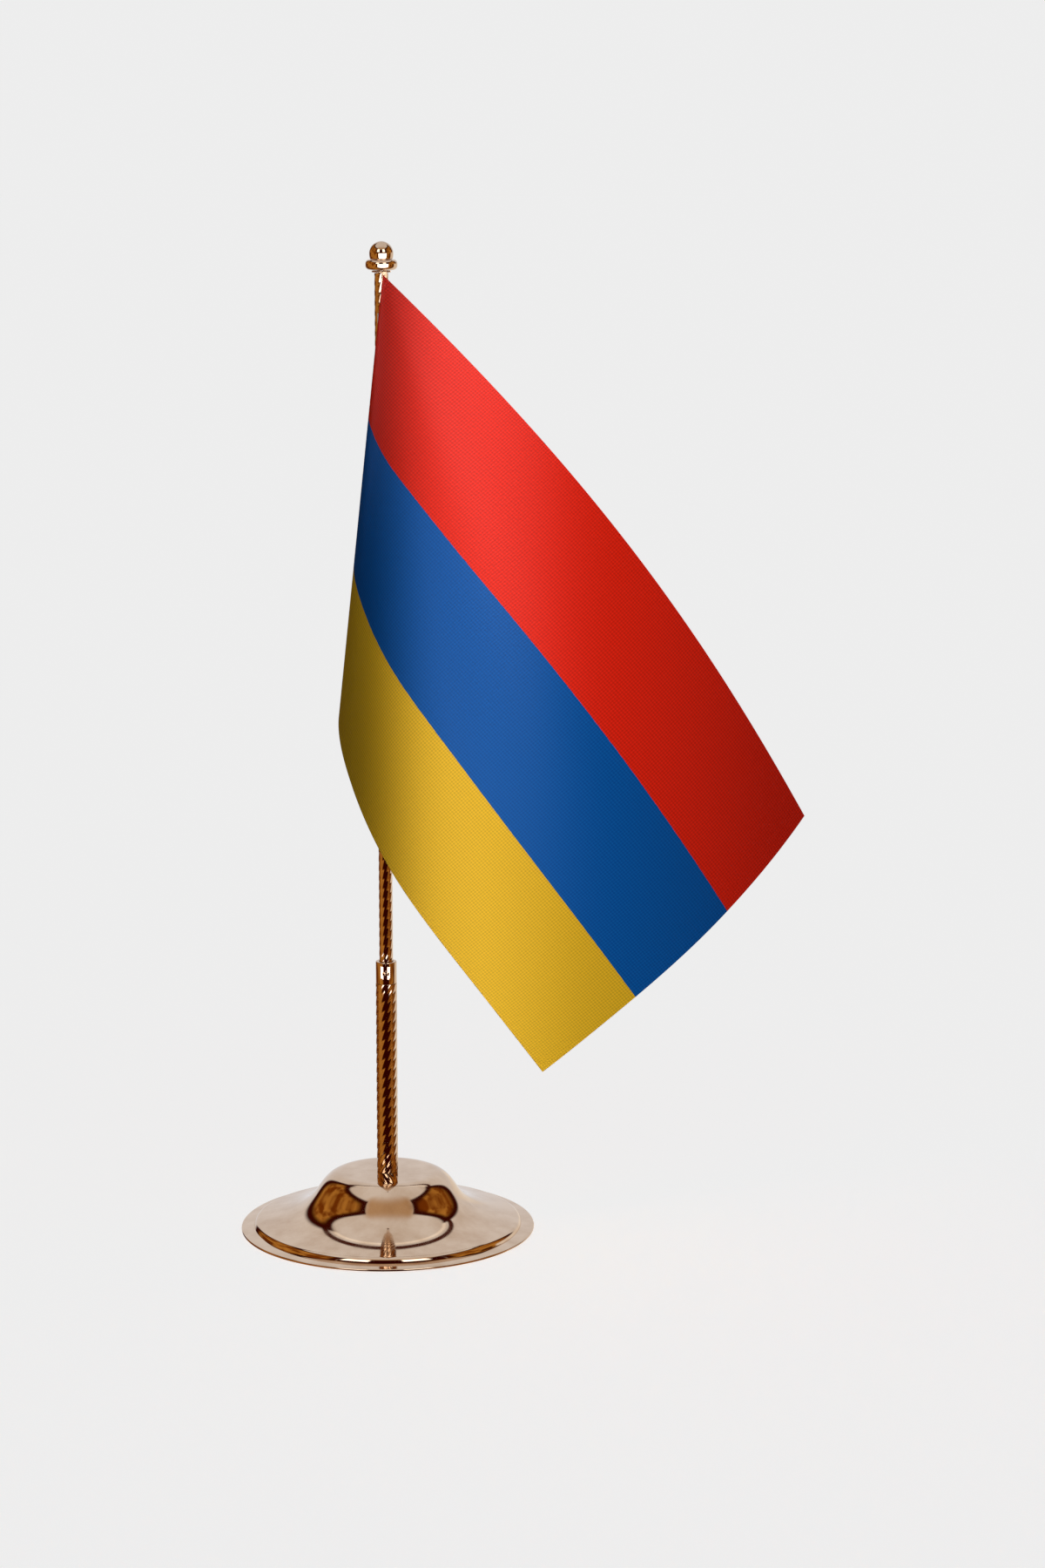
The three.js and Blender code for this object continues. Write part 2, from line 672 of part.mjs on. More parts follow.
// a ribbon washer round the stud with a tail down the front of the pole
function cornerTab() {
  const low = POLE_TOP + (TAB_SPACE - TAB_T) / 2;
  const washer = ring(STUD_R + RUNNING_GAP, TAB_R + TAB_T, low, low + TAB_T);
  const tail = box(
    new THREE.Vector3(TAB_RIGHT - TAB_W / 2, -(LOOP_R + TAB_T), low + TAB_T - TAB_TAIL),
    new THREE.Vector3(TAB_RIGHT + TAB_W / 2, -LOOP_R, low + TAB_T),
  );
  return join(washer, tail);
}

function hoistTape() {
  return box(
    new THREE.Vector3(CORNER.x - TAPE_W / 2, -(TAPE_BACK + TAPE_T), CORNER.z - FLAG_HOIST + TAPE_HEM),
    new THREE.Vector3(CORNER.x + TAPE_W / 2, -TAPE_BACK, CORNER.z - TAPE_ENDS),
  );
}

const flag = new THREE.Group();
upper_pole.add(flag);
add('flag_cloth', flagCloth(), FLAG, flag);
add('corner_tab', cornerTab(), RIBBON, flag);
add('hoist_tape', hoistTape(), TAPE, flag);
for (const [name, drop] of Object.entries(LOOP_DROPS)) {
  const low = CORNER.z - drop;
  add(name, ring(LOOP_R, LOOP_R + LOOP_T, low, low + LOOP_H), TAPE, flag);
}

export default flag_stand;
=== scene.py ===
# %% [markdown]
# # A desk flag stand
# The stand is a heavy spun base, a two-stage telescopic pole, a domed finial and one printed flag
# that hangs from its top corner. The measured model comes first. Every piece made below takes its
# place and its size from it, in metres, with the origin in the middle of the foot.

# %% Load the measured model
import math

import bmesh
import bpy
import numpy as np
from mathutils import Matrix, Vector


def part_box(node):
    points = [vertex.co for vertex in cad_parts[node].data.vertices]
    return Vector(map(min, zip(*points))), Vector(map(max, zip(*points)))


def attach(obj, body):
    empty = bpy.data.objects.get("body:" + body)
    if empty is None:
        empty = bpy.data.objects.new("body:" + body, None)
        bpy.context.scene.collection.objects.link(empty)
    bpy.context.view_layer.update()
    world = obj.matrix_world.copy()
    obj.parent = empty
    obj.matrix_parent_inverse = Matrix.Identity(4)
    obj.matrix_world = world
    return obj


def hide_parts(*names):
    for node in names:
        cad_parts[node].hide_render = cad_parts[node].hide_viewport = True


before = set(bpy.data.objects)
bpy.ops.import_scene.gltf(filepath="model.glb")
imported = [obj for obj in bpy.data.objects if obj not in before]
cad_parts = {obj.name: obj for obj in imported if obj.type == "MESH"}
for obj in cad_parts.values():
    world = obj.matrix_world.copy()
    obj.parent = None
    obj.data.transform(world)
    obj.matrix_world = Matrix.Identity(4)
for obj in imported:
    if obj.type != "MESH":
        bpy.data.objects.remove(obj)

MM = 0.001
scene = bpy.context.scene
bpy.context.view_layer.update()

# %% [markdown]
# ## Camera
# The stand is looked at from the front and from a little above, with a long lens, so that its
# verticals stay nearly parallel. The lens is worked out for the longer side of an upright frame.

# %% Camera
CAMERA_PLACE = (0.0442, -1.2, 0.3798)
CAMERA_PITCH = math.radians(79.08)
CAMERA_LENS = 87.36

bpy.ops.object.camera_add(location=CAMERA_PLACE, rotation=(CAMERA_PITCH, 0, 0))
camera = bpy.context.object
camera.data.lens = CAMERA_LENS
scene.camera = camera
scene.view_settings.view_transform = "Standard"
print("camera at", tuple(camera.location))

# %% [markdown]
# ## Working by hand, in code
# Each tool acts on whatever is selected, so a step starts by selecting only what it needs.
# `begin` clears the selection, `take` selects one piece, `pick` selects points by a rule, and
# `close_piece` merges doubled points, turns every face outwards and smooths all but the real edges.

# %% Selection and finishing helpers
def begin():
    bpy.ops.object.select_all(action="DESELECT")


def take(piece):
    begin()
    piece.select_set(True)
    bpy.context.view_layer.objects.active = piece


def open_piece(piece):
    take(piece)
    bpy.ops.object.mode_set(mode="EDIT")
    bpy.ops.mesh.select_mode(type="VERT")


def pick(piece, wanted):
    mesh = bmesh.from_edit_mesh(piece.data)
    for point in mesh.verts:
        point.select = bool(wanted(point))
    mesh.select_flush_mode()
    bmesh.update_edit_mesh(piece.data)


def close_piece(piece, merge=0.004 * MM, edge_angle=35):
    bpy.ops.mesh.select_all(action="SELECT")
    bpy.ops.mesh.remove_doubles(threshold=merge)
    bpy.ops.mesh.normals_make_consistent(inside=False)
    bpy.ops.object.mode_set(mode="OBJECT")
    smooth(piece, edge_angle)


def smooth(piece, edge_angle=35):
    take(piece)
    bpy.ops.object.shade_smooth_by_angle(angle=math.radians(edge_angle))


def fix_place(piece):
    take(piece)
    bpy.ops.object.transform_apply(location=True, rotation=True, scale=True)


def apply_modifier(piece, kind, **settings):
    modifier = piece.modifiers.new(kind.title(), kind)
    for name, value in settings.items():
        setattr(modifier, name, value)
    take(piece)
    bpy.ops.object.modifier_apply(modifier=modifier.name)


def settle(piece, name, body, node):
    piece.name = name
    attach(piece, body)
    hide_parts(node)
    low, high = piece_box(piece)
    sides = [round((high[i] - low[i]) / MM, 2) for i in range(3)]
    print(f"{name}: {sides} mm, {len(piece.data.polygons)} faces, rides on {body}")


def piece_box(piece):
    points = np.array([point.co for point in piece.data.vertices])
    return points.min(0), points.max(0)


# %% [markdown]
# ## Turning on a lathe
# Spun, turned and drawn parts are all round, so they share one way of making: a circle is drawn at
# the first point of the outline and extruded from ring to ring, each ring scaled to its radius.
# An outline that comes back to its first point gives a closed wall, and one whose ends lie on the
# axis gives a solid.

# %% A lathe made of extrusions
AXIS_R = 0.001 * MM


def turn(outline, facets):
    radius, height = outline[0]
    begin()
    bpy.ops.mesh.primitive_circle_add(vertices=facets, radius=max(radius, AXIS_R), location=(0, 0, height))
    piece = bpy.context.object
    fix_place(piece)
    open_piece(piece)
    bpy.ops.mesh.select_all(action="SELECT")
    for next_radius, next_height in outline[1:]:
        bpy.ops.mesh.extrude_region_move(
            TRANSFORM_OT_translate={"value": (0, 0, next_height - height)})
        share = max(next_radius, AXIS_R) / max(radius, AXIS_R)
        bpy.ops.transform.resize(value=(share, share, 1), center_override=(0, 0, next_height))
        radius, height = next_radius, next_height
    close_piece(piece)
    return piece


def arc(middle, radii, start, end, steps):
    turns = np.linspace(math.radians(start), math.radians(end), steps + 1)
    return [(middle[0] + radii[0] * math.cos(a), middle[1] + radii[1] * math.sin(a)) for a in turns]


def low_edge(radius, height, rounding, steps):
    return arc((radius - rounding, height + rounding), (rounding, rounding), -90, 0, steps)


def high_edge(radius, height, rounding, steps):
    return arc((radius - rounding, height - rounding), (rounding, rounding), 0, 90, steps)


def bezier(points, steps):
    places = np.linspace(0, 1, steps + 1)
    count = len(points) - 1
    return [tuple(sum(math.comb(count, k) * (1 - t) ** (count - k) * t ** k * np.array(point)
                      for k, point in enumerate(points))) for t in places]


# %% [markdown]
# ## Base shell
# The base is one sheet of brass, spun over a form until it has a flat flange, a small step, a
# trumpet flank and a flat hub, then polished and plated. Its outline is a chain of smooth curves,
# so it is drawn as Bezier curves and turned in fine steps, because a mirror finish shows every facet.

# %% Base shell
BASE_FACETS = 160
SHELL_WALL = 0.8 * MM
RIM_ROLL = 0.6 * MM
RIM_ROUND = 0.4 * MM
FLANGE_W = 4.2 * MM
FLANGE_RISE = 0.7 * MM
STEP = (1.6 * MM, 1.8 * MM)
STEP_LEAN = 0.32 * MM
STEP_ROUND = 0.1 * MM
WAIST = (24.4 * MM, 11.3 * MM)
FLANK_RUN = 0.46
FLANK_LIFT = 1.6 * MM
WAIST_PULL = (3.4 * MM, 4.4 * MM)
CROWN_PULL = 2.5 * MM
CROWN_LIFT = 0.4
PLATEAU_R = 14.5 * MM
PLATEAU_PULL = 5.7 * MM
SCREW_HOLE_R = 2.3 * MM
RIM_NECK = 0.25 * MM
RIM_HOLLOW = 0.3 * MM

shell_low, shell_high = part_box("base_shell")
base_r = shell_high.x
plateau_z = shell_high.z
rim_z = shell_low.z
rim_top = rim_z + RIM_ROLL
step_foot = (base_r - FLANGE_W, rim_top + FLANGE_RISE)
shoulder = (step_foot[0] - STEP[0], step_foot[1] + STEP[1])
step_turn = (step_foot[0] - STEP_LEAN, shoulder[1] - STEP_ROUND)
flank_start = (shoulder[0] + FLANK_RUN * (WAIST[0] - shoulder[0]), shoulder[1] + FLANK_LIFT)
flank_end = (WAIST[0] + WAIST_PULL[0], WAIST[1] - WAIST_PULL[1])
crown_start = (WAIST[0] - CROWN_PULL, WAIST[1] + CROWN_LIFT * (plateau_z - WAIST[1]))
crown_end = (PLATEAU_R + PLATEAU_PULL, plateau_z)
step = bezier([step_foot, step_turn, shoulder], steps=8)
flank = bezier([shoulder, flank_start, flank_end, WAIST], steps=26)
crown = bezier([WAIST, crown_start, crown_end, (PLATEAU_R, plateau_z)], steps=22)
hub = step + flank[1:] + crown[1:]
print("hub outline:", len(hub), "points, from", hub[0], "to", hub[-1])


# %% The shell's wall
def moved_in(outline, distance):
    points = np.array(outline)
    along = np.gradient(points, axis=0)
    along /= np.linalg.norm(along, axis=1)[:, None]
    return [(r - distance * dz, z + distance * dr) for (r, z), (dr, dz) in zip(points, along)]


rim_bead = arc((base_r - RIM_ROUND, rim_z + RIM_ROUND), (RIM_ROUND, RIM_ROUND), -90, 90, steps=10)
rim_inside_r = base_r - SHELL_WALL - RIM_ROUND
shell_outside = rim_bead + [(base_r - 2 * RIM_ROUND, rim_top + RIM_NECK)] + hub
shell_inside = moved_in(hub, SHELL_WALL)[::-1]
shell_outline = (
    shell_outside
    + [(SCREW_HOLE_R, plateau_z), (SCREW_HOLE_R, plateau_z - SHELL_WALL)]
    + shell_inside
    + [(rim_inside_r, rim_top - RIM_HOLLOW), (rim_inside_r, rim_z)]
)
shell = turn(shell_outline + [shell_outline[0]], BASE_FACETS)
settle(shell, "spun_base", "base", "base_shell")

# %% [markdown]
# ## Felt
# A disc of wool felt is glued under the base, so that the metal never touches the desk. It is cut
# with a punch, and its cut edge is a little soft, so the disc gets a rounded edge.

# %% Felt disc
FELT_FACETS = 96
FELT_EDGE = 0.35 * MM

felt_low, felt_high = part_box("felt_pad")
felt_r = felt_high.x
felt_outline = (
    [(0, felt_low.z)]
    + low_edge(felt_r, felt_low.z, FELT_EDGE, steps=4)
    + high_edge(felt_r, felt_high.z, FELT_EDGE, steps=4)
    + [(0, felt_high.z)]
)
felt = turn(felt_outline, FELT_FACETS)
settle(felt, "felt_disc", "base", "felt_pad")

# %% [markdown]
# ## Fluted pole tubes
# Both stages are thin tubes drawn through a die that twists shallow flutes into them. One ring of
# the flutes is drawn first: a circle whose points are scaled in, one set of them at a time. The
# Screw modifier then lifts and turns the ring along the pole, and Solidify gives the wall.

# %% Fluted tubes
FLUTE_STEPS = 8
TWIST_STEP = math.radians(9)
GROOVE_SHARPNESS = 3


def fluted_tube(node, flutes, lead, depth, wall):
    low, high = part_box(node)
    crest = high.x
    length = high.z - low.z
    begin()
    bpy.ops.mesh.primitive_circle_add(vertices=flutes * FLUTE_STEPS, radius=crest, location=(0, 0, low.z))
    piece = bpy.context.object
    fix_place(piece)
    open_piece(piece)
    for k in range(1, FLUTE_STEPS):
        pick(piece, lambda point: point.index % FLUTE_STEPS == k)
        groove = depth * math.sin(math.pi * k / FLUTE_STEPS) ** GROOVE_SHARPNESS
        share = (crest - groove) / crest
        bpy.ops.transform.resize(value=(share, share, 1), center_override=(0, 0, low.z))
    bpy.ops.object.mode_set(mode="OBJECT")
    twist = 2 * math.pi * length / lead
    steps = round(twist / TWIST_STEP)
    apply_modifier(piece, "SCREW", axis="Z", angle=twist, screw_offset=length,
                   steps=steps, render_steps=steps)
    side = piece.data.polygons[0]
    if side.normal.xy.dot(side.center.xy) < 0:
        open_piece(piece)
        bpy.ops.mesh.select_all(action="SELECT")
        bpy.ops.mesh.flip_normals()
        bpy.ops.object.mode_set(mode="OBJECT")
    apply_modifier(piece, "SOLIDIFY", thickness=wall, offset=-1)
    smooth(piece)
    return piece


lower_tube = fluted_tube("lower_tube", flutes=10, lead=32 * MM, depth=0.12 * MM, wall=0.24 * MM)
settle(lower_tube, "lower_stage", "base", "lower_tube")
upper_tube = fluted_tube("upper_tube", flutes=8, lead=25 * MM, depth=0.08 * MM, wall=0.45 * MM)
settle(upper_tube, "upper_stage", "upper_pole", "upper_tube")

# %% [markdown]
# ## Split ferrule
# The ferrule closes the lower tube and springs lightly against the upper one. It is turned, then
# slit down its front with a saw, and a short notch crosses the slit. It is turned here too, and the
# two cuts are Boolean modifiers with plain blocks the size of the slit and of the notch.

# %% Split ferrule
FERRULE_FACETS = 96
FERRULE_ROUND = 0.25 * MM
FERRULE_FOOT_ROUND = 0.12 * MM
BORE_GAP = 0.14 * MM
SPIGOT_R = 2.8 * MM
SPIGOT_L = 6 * MM
SLIT_W = 0.45 * MM
SLIT_UP = 1.2 * MM
NOTCH_W = 2.1 * MM
NOTCH_H = 1.0 * MM
NOTCH_UP = 3.6 * MM

ferrule_low, ferrule_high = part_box("split_ferrule")
ferrule_r = ferrule_high.x
ferrule_z = ferrule_low.z + SPIGOT_L
ferrule_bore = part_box("upper_tube")[1].x + BORE_GAP
ferrule_outline = (
    [(ferrule_bore, ferrule_low.z), (SPIGOT_R, ferrule_low.z), (SPIGOT_R, ferrule_z)]
    + low_edge(ferrule_r, ferrule_z, FERRULE_FOOT_ROUND, steps=3)
    + high_edge(ferrule_r, ferrule_high.z, FERRULE_ROUND, steps=5)
    + [(ferrule_bore, ferrule_high.z)]
)
ferrule = turn(ferrule_outline + [ferrule_outline[0]], FERRULE_FACETS)


def block(sides, middle):
    begin()
    bpy.ops.mesh.primitive_cube_add(size=1)
    piece = bpy.context.object
    piece.scale = sides
    piece.location = middle
    fix_place(piece)
    return piece


def saw(piece, width, low, high):
    blade = block((width, 2 * ferrule_r, high - low), (0, -ferrule_r, (low + high) / 2))
    apply_modifier(piece, "BOOLEAN", operation="DIFFERENCE", object=blade, solver="EXACT")
    bpy.data.objects.remove(blade)


saw(ferrule, SLIT_W, ferrule_z + SLIT_UP, ferrule_high.z + MM)
saw(ferrule, NOTCH_W, ferrule_z + NOTCH_UP - NOTCH_H / 2, ferrule_z + NOTCH_UP + NOTCH_H / 2)
smooth(ferrule)
settle(ferrule, "ferrule", "base", "split_ferrule")

# %% [markdown]
# ## Finial
# A thick round flange and a small dome screw down on a stud and hold the flag's corner. Both are
# turned brass with a blind or a through bore, polished before they are plated.

# %% Finial
FINIAL_FACETS = 96
STUD_BORE_R = 1.1 * MM
FLANGE_ROUND = 1.35 * MM
DOME_FOOT_R = 3.55 * MM
DOME_SKIRT = 1.7 * MM
SKIRT_BULGE = 0.4
DOME_BORE_UP = 2.9 * MM

flange_low, flange_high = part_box("finial_flange")
flange_r = flange_high.x
flange_outline = (
    [(STUD_BORE_R, flange_low.z)]
    + low_edge(flange_r, flange_low.z, FLANGE_ROUND, steps=10)
    + high_edge(flange_r, flange_high.z, FLANGE_ROUND, steps=10)
    + [(STUD_BORE_R, flange_high.z)]
)
flange = turn(flange_outline + [flange_outline[0]], FINIAL_FACETS)
settle(flange, "finial_collar", "upper_pole", "finial_flange")

dome_low, dome_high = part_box("finial_dome")
dome_r = dome_high.x
skirt_z = dome_low.z + DOME_SKIRT
skirt_turn = (dome_r, dome_low.z + SKIRT_BULGE * DOME_SKIRT)
skirt = bezier([(DOME_FOOT_R, dome_low.z), skirt_turn, (dome_r, skirt_z)], steps=5)
bore_top = dome_low.z + DOME_BORE_UP
dome_outline = (
    [(0, bore_top), (STUD_BORE_R, bore_top), (STUD_BORE_R, dome_low.z)]
    + skirt[:-1]
    + arc((0, skirt_z), (dome_r, dome_high.z - skirt_z), 0, 90, steps=18)
)
dome = turn(dome_outline, FINIAL_FACETS)
settle(dome, "finial_knob", "upper_pole", "finial_dome")

# %% [markdown]
# ## Flag
# The flag is one sheet of polyester satin, printed in three equal stripes and cut to 240 by 120 mm
# with a hot knife, so it has no hem. It hangs from its top corner: the threads pull straight from
# there, so every line from the corner stays straight while the sheet folds sideways round one soft
# fold. A flat grid is laid out first, for its map of the print, and each of its points is then hung
# on its line. Solidify gives the cloth its thickness.

# %% The cut sheet
FLY = 240 * MM
HOIST = 120 * MM
GRID = (192, 96)
CLOTH_T = 0.28 * MM

begin()
bpy.ops.mesh.primitive_grid_add(x_subdivisions=GRID[0], y_subdivisions=GRID[1], size=1, calc_uvs=True)
flag = bpy.context.object
flag.data.uv_layers[0].name = "print"
print("flat sheet:", len(flag.data.polygons), "faces")

# %% How it hangs
BOW_TOP = 9.6 * MM
BOW_FLY = 6 * MM
BOW_FOOT = 2.4 * MM
CORNER = Vector((0.6, -4.0, 310.9)) * MM
FOLD_STEP = math.radians(10)
# Seen from above, the straight lines follow this fold: right and back for each unit of drop, one
# entry for every ten degrees of the flat sheet, from ten above its top edge to ten past its hoist.
FOLD = np.array([
    (1.0, 0.455), (0.75, 0.345), (0.505, 0.235), (0.3, 0.143), (0.14, 0.048), (0.008, -0.03),
    (-0.07, -0.062), (-0.105, -0.04), (-0.085, -0.006), (-0.043, 0.004), (0, 0), (0.043, -0.004),
])


def fold_at(angle):
    place = np.clip(angle / FOLD_STEP + 1, 0, len(FOLD) - 1)
    first = np.minimum(place.astype(int), len(FOLD) - 2)
    t = (place - first)[:, None]
    before, start, end, after = (FOLD[np.clip(first + k, 0, len(FOLD) - 1)] for k in (-1, 0, 1, 2))
    slope, next_slope = (end - before) / 2, (after - start) / 2
    return ((2 * t ** 3 - 3 * t ** 2 + 1) * start + (t ** 3 - 2 * t ** 2 + t) * slope
            + (3 * t ** 2 - 2 * t ** 3) * end + (t ** 3 - t ** 2) * next_slope)


def hang(fly, hoist):
    a, b = fly / FLY, hoist / HOIST
    # each bow is a smooth hump, one high at its peak, times the most that the edge is bowed by
    u = fly + BOW_FLY * 4 * b * (1 - b) * a
    v = hoist - BOW_TOP * 4 * a * (1 - a) * (1 - b) + BOW_FOOT * 6.75 * a * (1 - a) ** 2 * b
    sideways = fold_at(np.arctan2(v, u))
    line = np.column_stack([sideways, -np.ones(len(sideways))])
    line /= np.linalg.norm(line, axis=1)[:, None]
    return np.array(CORNER) + np.hypot(u, v)[:, None] * line


flat = np.array([point.co for point in flag.data.vertices])
hung = hang((flat[:, 0] + 0.5) * FLY, (0.5 - flat[:, 1]) * HOIST)
flag.data.vertices.foreach_set("co", hung.astype(np.float32).ravel())
flag.data.update()
apply_modifier(flag, "SOLIDIFY", thickness=CLOTH_T, offset=0)
smooth(flag, 60)
settle(flag, "printed_flag", "flag", "flag_cloth")

# %% [markdown]
# ## Ribbon tab, hoist tape and loops
# A ribbon washer under the finial carries the corner. Behind the flag a woven tape stiffens the
# hoist, and two short loops of the same tape go round the pole. They are narrow bands of cloth, so
# each is drawn as a thin strip, given its thickness and a soft edge by bevelling.

# %% Ribbon and tape
BAND_FACETS = 48
BAND_EDGE = 0.1 * MM
STUD_GAP_R = 1.14 * MM
RIBBON_T = 0.45 * MM
TAIL_LEFT = 0.2 * MM
TAIL_RIGHT = 1.8 * MM
LOOP_T = 0.3 * MM


def band(low, high, cuts):
    piece = block(high - low, (low + high) / 2)
    apply_modifier(piece, "BEVEL", width=BAND_EDGE, segments=2)
    open_piece(piece)
    for k in range(1, cuts):
        bpy.ops.mesh.select_all(action="SELECT")
        cut_z = low.z + (high.z - low.z) * k / cuts
        bpy.ops.mesh.bisect(plane_co=(0, 0, cut_z), plane_no=(0, 0, 1))
    close_piece(piece, edge_angle=50)
    return piece


def hoop(low, high, inner_r):
    outline = (
        [(inner_r, low.z)]
        + low_edge(high.x, low.z, BAND_EDGE, steps=3)
        + high_edge(high.x, high.z, BAND_EDGE, steps=3)
        + [(inner_r, high.z)]
    )
    return turn(outline + [outline[0]], BAND_FACETS)


tab_low, tab_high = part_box("corner_tab")
washer = hoop(Vector((0, 0, tab_high.z - RIBBON_T)), Vector((tab_high.x, 0, tab_high.z)), STUD_GAP_R)
tail_low = Vector((TAIL_LEFT, tab_low.y, tab_low.z))
tail_high = Vector((TAIL_RIGHT, tab_low.y + RIBBON_T, tab_high.z))
tail = band(tail_low, tail_high, cuts=8)
take(washer)
tail.select_set(True)
bpy.ops.object.join()
ribbon = washer
settle(ribbon, "ribbon_tab", "flag", "corner_tab")

tape = band(*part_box("hoist_tape"), cuts=24)
settle(tape, "woven_tape", "flag", "hoist_tape")
loops = []
for node in ("hoist_loop_upper", "hoist_loop_lower"):
    loop_low, loop_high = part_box(node)
    loop = hoop(loop_low, loop_high, loop_high.x - LOOP_T)
    settle(loop, node.replace("hoist_loop", "tape_loop"), "flag", node)
    loops.append(loop)

# %% [markdown]
# ## The cloth's cut sizes
# The flag and the felt are sheets, cut flat before they were hung or glued, and the size each was cut to is
# printed. The narrow bands go with the flag.

# %% Sheets
print("declared: flag", FLY, "by", HOIST, "m, and felt", round(2 * felt_r, 4), "m across")

# %% [markdown]
# ## Colours and nodes
# Colours are written as the hex values a paint chart gives, and one function turns them to the
# linear values that light is reckoned in. `add` makes a node with its settings and its links, and
# `feed` gives a socket either a link or a plain value. The short ones after them are the steps that
# most of the materials share.

# %% Colour and node helpers
def linear(chart):
    parts = [int(chart[k:k + 2], 16) / 255 for k in (0, 2, 4)]
    return tuple(c / 12.92 if c <= 0.04045 else ((c + 0.055) / 1.055) ** 2.4 for c in parts) + (1.0,)


def new_material(name):
    material = bpy.data.materials.new(name)
    material.use_nodes = True
    return material, material.node_tree, material.node_tree.nodes["Principled BSDF"]


def feed(tree, node, inputs):
    for socket, source in inputs.items():
        if isinstance(source, bpy.types.NodeSocket):
            tree.links.new(source, node.inputs[socket])
        else:
            node.inputs[socket].default_value = source


def add(tree, kind, settings=None, inputs=None):
    made = tree.nodes.new(kind)
    for name, value in (settings or {}).items():
        setattr(made, name, value)
    feed(tree, made, inputs or {})
    return made


def reckon(tree, operation, *values):
    return add(tree, "ShaderNodeMath", {"operation": operation}, dict(enumerate(values))).outputs[0]


def stretch(tree, value, low, high, to_low=0.0, to_high=1.0):
    return add(tree, "ShaderNodeMapRange", inputs={
        "Value": value, "From Min": low, "From Max": high, "To Min": to_low, "To Max": to_high}).outputs[0]


def noise(tree, place, scale, detail=2.0, roughness=0.5):
    return add(tree, "ShaderNodeTexNoise", inputs={
        "Vector": place, "Scale": scale, "Detail": detail, "Roughness": roughness}).outputs["Fac"]


def blend(tree, share, under, top):
    return add(tree, "ShaderNodeMix", {"data_type": "RGBA"}, {0: share, 6: under, 7: top}).outputs[2]


def relief(tree, height, strength, depth):
    return add(tree, "ShaderNodeBump", inputs={
        "Height": height, "Strength": strength, "Distance": depth}).outputs[0]


def split(tree, vector):
    return add(tree, "ShaderNodeSeparateXYZ", inputs={0: vector}).outputs


def paint(material, *pieces):
    for piece in pieces:
        piece.data.materials.clear()
        piece.data.materials.append(material)
    print(material.name, "on", ", ".join(piece.name for piece in pieces))


def paint_node(material, *nodes):
    for name in nodes:
        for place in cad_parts[name].material_slots:
            place.material = material
    print(material.name, "on", ", ".join(nodes))


# %% [markdown]
# ## Champagne plate
# The bright parts are brass with a champagne-coloured nickel-gold plate over a buffed surface. It is
# nearly a mirror. What keeps it real is small: hair-fine lines from the buffing wheel or the die, and
# a faint cloudiness from handling, a little duller and darker in patches.

# %% Champagne plate
PLATE_COLOUR = "dcc3aa"
PLATE_DULL = "c7a98c"


def plated(name, line_scale, roughness, bump):
    material, tree, shader = new_material(name)
    place = add(tree, "ShaderNodeTexCoord").outputs["Object"]
    # fine lines: noise squeezed along the axis runs round a piece, squeezed across it along the pole
    squeezed = add(tree, "ShaderNodeMapping", inputs={"Vector": place, "Scale": line_scale}).outputs[0]
    lines = noise(tree, squeezed, 1.0, detail=3.0)
    # handling marks: soft clouds about 8 mm across
    clouds = noise(tree, place, 120.0, detail=4.0, roughness=0.55)
    dullness = stretch(tree, clouds, 0.35, 0.75)
    feed(tree, shader, {
        "Base Color": blend(tree, dullness, linear(PLATE_COLOUR), linear(PLATE_DULL)),
        "Roughness": stretch(tree, clouds, 0.3, 0.8, roughness * 0.7, roughness * 1.8),
        "Normal": relief(tree, lines, bump, 0.02 * MM),
        "Metallic": 1.0,
    })
    return material


# rings 0.4 mm apart on the spun base, lines 0.15 mm apart on the turned parts, and on the drawn
# tubes streaks along the pole, about 1 mm wide and 5 mm long
spun_plate = plated("champagne plate, spun and buffed", (300, 300, 2500), 0.05, 0.06)
turned_plate = plated("champagne plate, turned and buffed", (800, 800, 6600), 0.05, 0.08)
drawn_plate = plated("champagne plate, drawn tube", (900, 900, 200), 0.1, 0.12)
paint(spun_plate, shell)
paint(turned_plate, ferrule, flange, dome)
paint(drawn_plate, lower_tube, upper_tube)

# %% [markdown]
# ## Printed satin
# Polyester satin takes the print deep and evenly. It has a soft sheen, and its long threads cross in
# a fine diagonal: a thread every 0.25 mm, too fine to show, so the diagonal is drawn coarser, every
# 1.4 mm, and broken into dots by the cross threads.

# %% Printed satin
RED, BLUE, YELLOW = "e82410", "0655a2", "e6b424"
TWILL = 2.0
CROSS = 1.7
BLEED = 0.002
WEAVE = (-0.6, 1.8)

satin, tree, shader = new_material("printed polyester satin")
sheet_map = add(tree, "ShaderNodeUVMap", {"uv_map": "print"}).outputs[0]
parts = split(tree, sheet_map)
# the ink bleeds a little at the edges of the stripes
wobble = noise(tree, sheet_map, 60.0)
edge = reckon(tree, "MULTIPLY_ADD", wobble, BLEED, parts["Y"])
over_yellow = reckon(tree, "GREATER_THAN", edge, 1 / 3 + BLEED / 2)
over_blue = reckon(tree, "GREATER_THAN", edge, 2 / 3 + BLEED / 2)
print_colour = blend(tree, over_yellow, linear(YELLOW), linear(BLUE))
print_colour = blend(tree, over_blue, print_colour, linear(RED))
